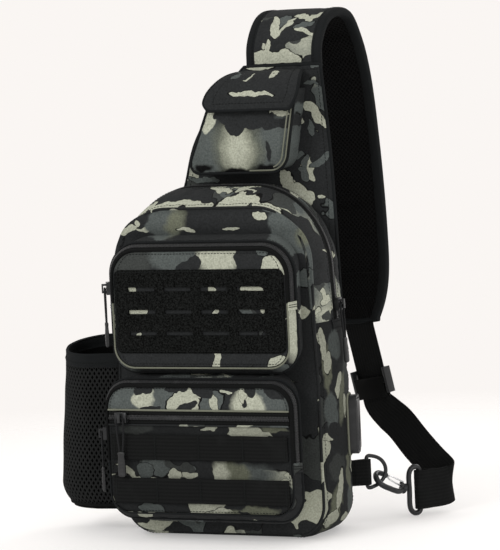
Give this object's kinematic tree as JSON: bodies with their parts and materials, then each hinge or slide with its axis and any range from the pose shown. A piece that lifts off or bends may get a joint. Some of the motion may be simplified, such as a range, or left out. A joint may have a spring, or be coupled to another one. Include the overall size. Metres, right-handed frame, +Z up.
{
  "type": "sling bag",
  "caption": "Single-strap sling bag with padded body, front pockets, phone pouch with flap, mesh bottle pocket, charging port and a swivel hook on the strap.",
  "frame": {"origin": "middle of the flat base, on the surface the bag stands on", "axes": "+Z up, -Y is the bag's front with the pockets, +X is the right-hand side seen from the front"},
  "size_m": [0.3671, 0.2527, 0.5002],
  "materials": {
    "camo_cloth": "woven polyester, multicolour camouflage print, slight sheen",
    "camo_cloth_pale": "woven polyester, camouflage print with large pale areas",
    "black_cloth": "plain woven black polyester",
    "air_mesh": "black ribbed spacer mesh",
    "net": "open black net with small diamond holes",
    "elastic": "ribbed black elastic band",
    "zip_tape": "fine woven black tape",
    "zip_coil": "black nylon coil",
    "loop_panel": "black fuzzy loop pile",
    "piping": "folded camouflage piping",
    "webbing": "ribbed black polyester webbing",
    "plastic": "satin black moulded plastic",
    "port_metal": "plated steel socket shell",
    "black_metal": "black coated zinc, semi-gloss",
    "gate_steel": "bright spring wire",
    "cord": "braided black cord"
  },
  "bodies": {
    "bag": {"front_panel": "camo_cloth", "front_piping": "piping", "top_gusset_front": "camo_cloth", "main_zip_tape": "zip_tape", "main_zip_chain": "zip_coil", "top_gusset_rear": "camo_cloth", "bottom_gusset": "camo_cloth_pale", "yoke_panel": "camo_cloth", "back_pad": "air_mesh", "upper_pocket_gusset": "camo_cloth", "upper_pocket_front": "camo_cloth", "upper_zip_tape": "zip_tape", "upper_zip_chain": "zip_coil", "upper_pocket_lower_gusset": "camo_cloth_pale", "patch_panel": "loop_panel", "lower_pocket_gusset": "camo_cloth", "lower_pocket_upper_face": "camo_cloth", "lower_pocket_lower_face": "camo_cloth", "lower_zip_tape": "zip_tape", "lower_zip_chain": "zip_coil", "lower_pocket_lower_gusset": "camo_cloth", "front_zip_tape": "zip_tape", "front_zip_chain": "zip_coil", "molle_webbing_upper": "webbing", "molle_webbing_lower": "webbing", "bottle_pocket_mesh": "net", "bottle_pocket_rim": "elastic", "bottle_pocket_base": "black_cloth", "phone_pouch_gusset": "camo_cloth", "phone_pouch_front": "camo_cloth", "flap_hook_tape": "loop_panel", "strap_face": "camo_cloth", "strap_lining": "air_mesh", "strap_binding_left": "black_cloth", "strap_binding_right": "black_cloth", "strap_webbing": "webbing", "side_tab": "webbing", "usb_bezel": "plastic", "usb_socket": "port_metal"},
    "pouch_flap": {"phone_pouch_flap": "camo_cloth"},
    "port_cover": {"usb_cover": "plastic"},
    "adjuster": {"tri_glide": "plastic", "webbing_tail_loop": "webbing"},
    "ring": {"d_ring": "black_metal"},
    "frame": {"hook_frame": "black_metal"},
    "hook": {"hook_body": "black_metal"},
    "gate": {"hook_gate": "gate_steel"},
    "main_slider": {"main_zip_slider": "black_metal"},
    "main_pull": {"main_zip_pull_cord": "cord", "main_zip_pull_grip": "plastic"},
    "upper_slider": {"upper_zip_slider": "black_metal"},
    "upper_pull": {"upper_zip_pull_cord": "cord", "upper_zip_pull_grip": "plastic"},
    "lower_slider": {"lower_zip_slider": "black_metal"},
    "lower_pull": {"lower_zip_pull_cord": "cord", "lower_zip_pull_grip": "plastic"},
    "front_slider": {"front_zip_slider": "black_metal"},
    "front_pull": {"front_zip_pull_cord": "cord", "front_zip_pull_grip": "plastic"}
  },
  "joints": [
    {"name": "pouch_flap_lift", "type": "hinge", "parent": "bag", "child": "pouch_flap", "pos_m": [0.045, 0.0344, 0.443], "axis": [-1, 0, 0], "range_deg": [0, 100]},
    {"name": "port_cover_lift", "type": "hinge", "parent": "bag", "child": "port_cover", "pos_m": [0.11863, 0.02444, 0.1254], "axis": [0.2368, -0.9716, 0], "range_deg": [0, 100]},
    {"name": "adjuster_slide", "type": "slide", "parent": "bag", "child": "adjuster", "axis": [-0.201, -0.0153, 0.9795], "range_m": [0, 0.03]},
    {"name": "ring_swing", "type": "hinge", "parent": "bag", "child": "ring", "pos_m": [0.115, 0.048, 0.05], "axis": [0, 0, 1], "range_deg": [-20, 0]},
    {"name": "frame_swing", "type": "hinge", "parent": "bag", "child": "frame", "pos_m": [0.152, 0.093, 0.026], "axis": [0, 0, 1], "range_deg": [-9, 9]},
    {"name": "hook_swivel", "type": "hinge", "parent": "frame", "child": "hook", "pos_m": [0.14349, 0.08265, 0.027], "axis": [-0.5724, -0.6962, 0.4333], "range_deg": [-8, 25]},
    {"name": "gate_press", "type": "hinge", "parent": "hook", "child": "gate", "pos_m": [0.13773, 0.0824, 0.03284], "axis": [0.7073, -0.1518, 0.6904], "range_deg": [0, 22], "stiffness_Nm_per_rad": 0.002},
    {"name": "main_zip_slide", "type": "slide", "parent": "bag", "child": "main_slider", "axis": [-0.0498, 0, 0.9988], "range_m": [-0.006, 0.03]},
    {"name": "main_pull_swing", "type": "hinge", "parent": "main_slider", "child": "main_pull", "pos_m": [0.11396, 0.004, 0.21932], "axis": [0, -1, 0], "range_deg": [0, 95]},
    {"name": "upper_zip_slide", "type": "slide", "parent": "bag", "child": "upper_slider", "axis": [0, 0, 1], "range_m": [-0.006, 0.0045]},
    {"name": "upper_pull_swing", "type": "hinge", "parent": "upper_slider", "child": "upper_pull", "pos_m": [-0.0994, -0.06863, 0.243], "axis": [-0.5145, 0.8575, 0], "range_deg": [0, 95]},
    {"name": "lower_zip_slide", "type": "slide", "parent": "bag", "child": "lower_slider", "axis": [0, 0, 1], "range_m": [-0.018, 0.019]},
    {"name": "lower_pull_swing", "type": "hinge", "parent": "lower_slider", "child": "lower_pull", "pos_m": [-0.10636, -0.07784, 0.105], "axis": [-0.3846, 0.9231, 0], "range_deg": [0, 95]},
    {"name": "front_zip_slide", "type": "slide", "parent": "bag", "child": "front_slider", "axis": [1, 0, 0], "range_m": [-0.003, 0.158]},
    {"name": "front_pull_swing", "type": "hinge", "parent": "front_slider", "child": "front_pull", "pos_m": [-0.082, -0.0875, 0.121], "axis": [-1, 0, 0], "range_deg": [0, 95]}
  ],
  "couplings": [
    {"joint": "frame_swing", "follows": "ring_swing", "ratio": -0.4185}
  ]
}
